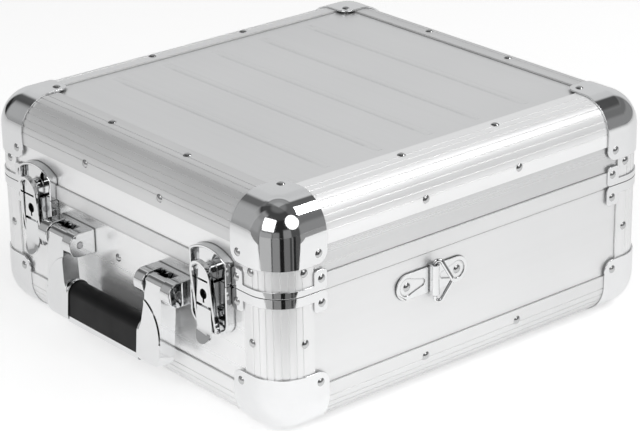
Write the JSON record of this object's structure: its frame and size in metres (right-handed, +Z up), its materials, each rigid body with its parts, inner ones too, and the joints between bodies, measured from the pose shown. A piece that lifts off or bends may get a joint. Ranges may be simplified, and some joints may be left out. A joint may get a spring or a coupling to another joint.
{
  "type": "cd flight case",
  "caption": "Square flight case for CDs: light panels in ribbed aluminium edge profiles, chromed ball corners, keyed draw latches, drop handle, strap rings and a hinged lid over foam-lined rows",
  "frame": {"origin": "on the floor plane under the middle of the whole object, at the underside of the ball corners", "axes": "+X to the right as seen from the front, +Y from the handle side to the hinge side, +Z up; the front with the handle and the latches faces -Y"},
  "size_m": [0.3724, 0.4014, 0.1791],
  "materials": {
    "lid_panel": "satin silver-grey facing, lightly ribbed",
    "wall_panel": "satin silver-grey facing",
    "edge_profile": "anodised, fine lengthwise grooves",
    "corner_insert": "moulded black",
    "corner_chrome": "polished",
    "rivet_chrome": "polished",
    "handle_chrome": "polished",
    "grip_rubber": "smooth satin",
    "spring_steel": "bright drawn wire",
    "pin_steel": "ground",
    "lock_brass": "dark, turned",
    "latch_chrome": "polished",
    "strap_chrome": "polished",
    "hinge_steel": "satin nickel",
    "foam": "charcoal foam"
  },
  "bodies": {
    "base": {"base_floor_panel": "wall_panel", "base_front_panel": "wall_panel", "base_right_panel": "wall_panel", "base_back_panel": "wall_panel", "base_left_panel": "wall_panel", "base_edge_front": "edge_profile", "base_edge_right": "edge_profile", "base_edge_back": "edge_profile", "base_edge_left": "edge_profile", "base_corner_posts": "edge_profile", "base_rim": "edge_profile", "base_corner_inserts": "corner_insert", "base_ball_corners": "corner_chrome", "base_rim_brackets": "corner_chrome", "base_rivets": "rivet_chrome", "base_hinge_leaves": "hinge_steel", "base_floor_foam": "foam", "base_wall_foam": "foam", "handle_mount_left": "handle_chrome", "handle_mount_right": "handle_chrome", "handle_pins": "pin_steel", "handle_springs": "spring_steel", "latch_body_left": "latch_chrome", "latch_body_right": "latch_chrome", "latch_lever_pins": "pin_steel", "strap_plate_left": "strap_chrome", "strap_plate_right": "strap_chrome", "hinge_pins": "pin_steel", "row_divider": "foam"},
    "lid": {"lid_top_panel": "lid_panel", "lid_front_strip": "wall_panel", "lid_right_strip": "wall_panel", "lid_back_strip": "wall_panel", "lid_left_strip": "wall_panel", "lid_edge_front": "edge_profile", "lid_edge_right": "edge_profile", "lid_edge_back": "edge_profile", "lid_edge_left": "edge_profile", "lid_corner_posts": "edge_profile", "lid_rim": "edge_profile", "lid_corner_inserts": "corner_insert", "lid_ball_corners": "corner_chrome", "lid_rim_brackets": "corner_chrome", "lid_rivets": "rivet_chrome", "lid_hinge_leaves": "hinge_steel", "lid_foam": "foam", "keeper_left": "latch_chrome", "keeper_right": "latch_chrome"},
    "handle": {"handle_frame": "handle_chrome", "handle_grip": "grip_rubber"},
    "lever_left": {"latch_lever_left": "latch_chrome", "latch_link_pin_left": "pin_steel"},
    "bail_left": {"latch_bail_left": "latch_chrome"},
    "barrel_left": {"lock_barrel_left": "lock_brass"},
    "ring_left": {"strap_ring_left": "strap_chrome"},
    "lever_right": {"latch_lever_right": "latch_chrome", "latch_link_pin_right": "pin_steel"},
    "bail_right": {"latch_bail_right": "latch_chrome"},
    "barrel_right": {"lock_barrel_right": "lock_brass"},
    "ring_right": {"strap_ring_right": "strap_chrome"}
  },
  "joints": [
    {"name": "lid_hinge", "type": "hinge", "parent": "base", "child": "lid", "pos_m": [0, 0.1975, 0.1093], "axis": [-1, 0, 0], "range_deg": [0, 100]},
    {"name": "handle_swing", "type": "hinge", "parent": "base", "child": "handle", "pos_m": [0, -0.1885, 0.09], "axis": [-1, 0, 0], "range_deg": [0, 92]},
    {"name": "lever_left_swing", "type": "hinge", "parent": "base", "child": "lever_left", "pos_m": [-0.1075, -0.1824, 0.0853], "axis": [-1, 0, 0], "range_deg": [0, 110]},
    {"name": "bail_left_swing", "type": "hinge", "parent": "lever_left", "child": "bail_left", "pos_m": [-0.1075, -0.1823, 0.0723], "axis": [-1, 0, 0], "range_deg": [-117, 2]},
    {"name": "lock_left_turn", "type": "hinge", "parent": "base", "child": "barrel_left", "pos_m": [-0.1075, -0.181, 0.0991], "axis": [0, 1, 0], "range_deg": [0, 90]},
    {"name": "ring_left_swing", "type": "hinge", "parent": "base", "child": "ring_left", "pos_m": [-0.17775, -0.031, 0.0873], "axis": [0, 0, -1], "range_deg": [-142, 28]},
    {"name": "lever_right_swing", "type": "hinge", "parent": "base", "child": "lever_right", "pos_m": [0.1075, -0.1824, 0.0853], "axis": [-1, 0, 0], "range_deg": [0, 110]},
    {"name": "bail_right_swing", "type": "hinge", "parent": "lever_right", "child": "bail_right", "pos_m": [0.1075, -0.1823, 0.0723], "axis": [-1, 0, 0], "range_deg": [-117, 2]},
    {"name": "lock_right_turn", "type": "hinge", "parent": "base", "child": "barrel_right", "pos_m": [0.1075, -0.181, 0.0991], "axis": [0, 1, 0], "range_deg": [0, 90]},
    {"name": "ring_right_swing", "type": "hinge", "parent": "base", "child": "ring_right", "pos_m": [0.17775, -0.031, 0.0873], "axis": [0, 0, 1], "range_deg": [-142, 28]}
  ],
  "couplings": [
    {"joint": "bail_left_swing", "follows": "lever_left_swing", "ratio": -1},
    {"joint": "bail_right_swing", "follows": "lever_right_swing", "ratio": -1}
  ]
}
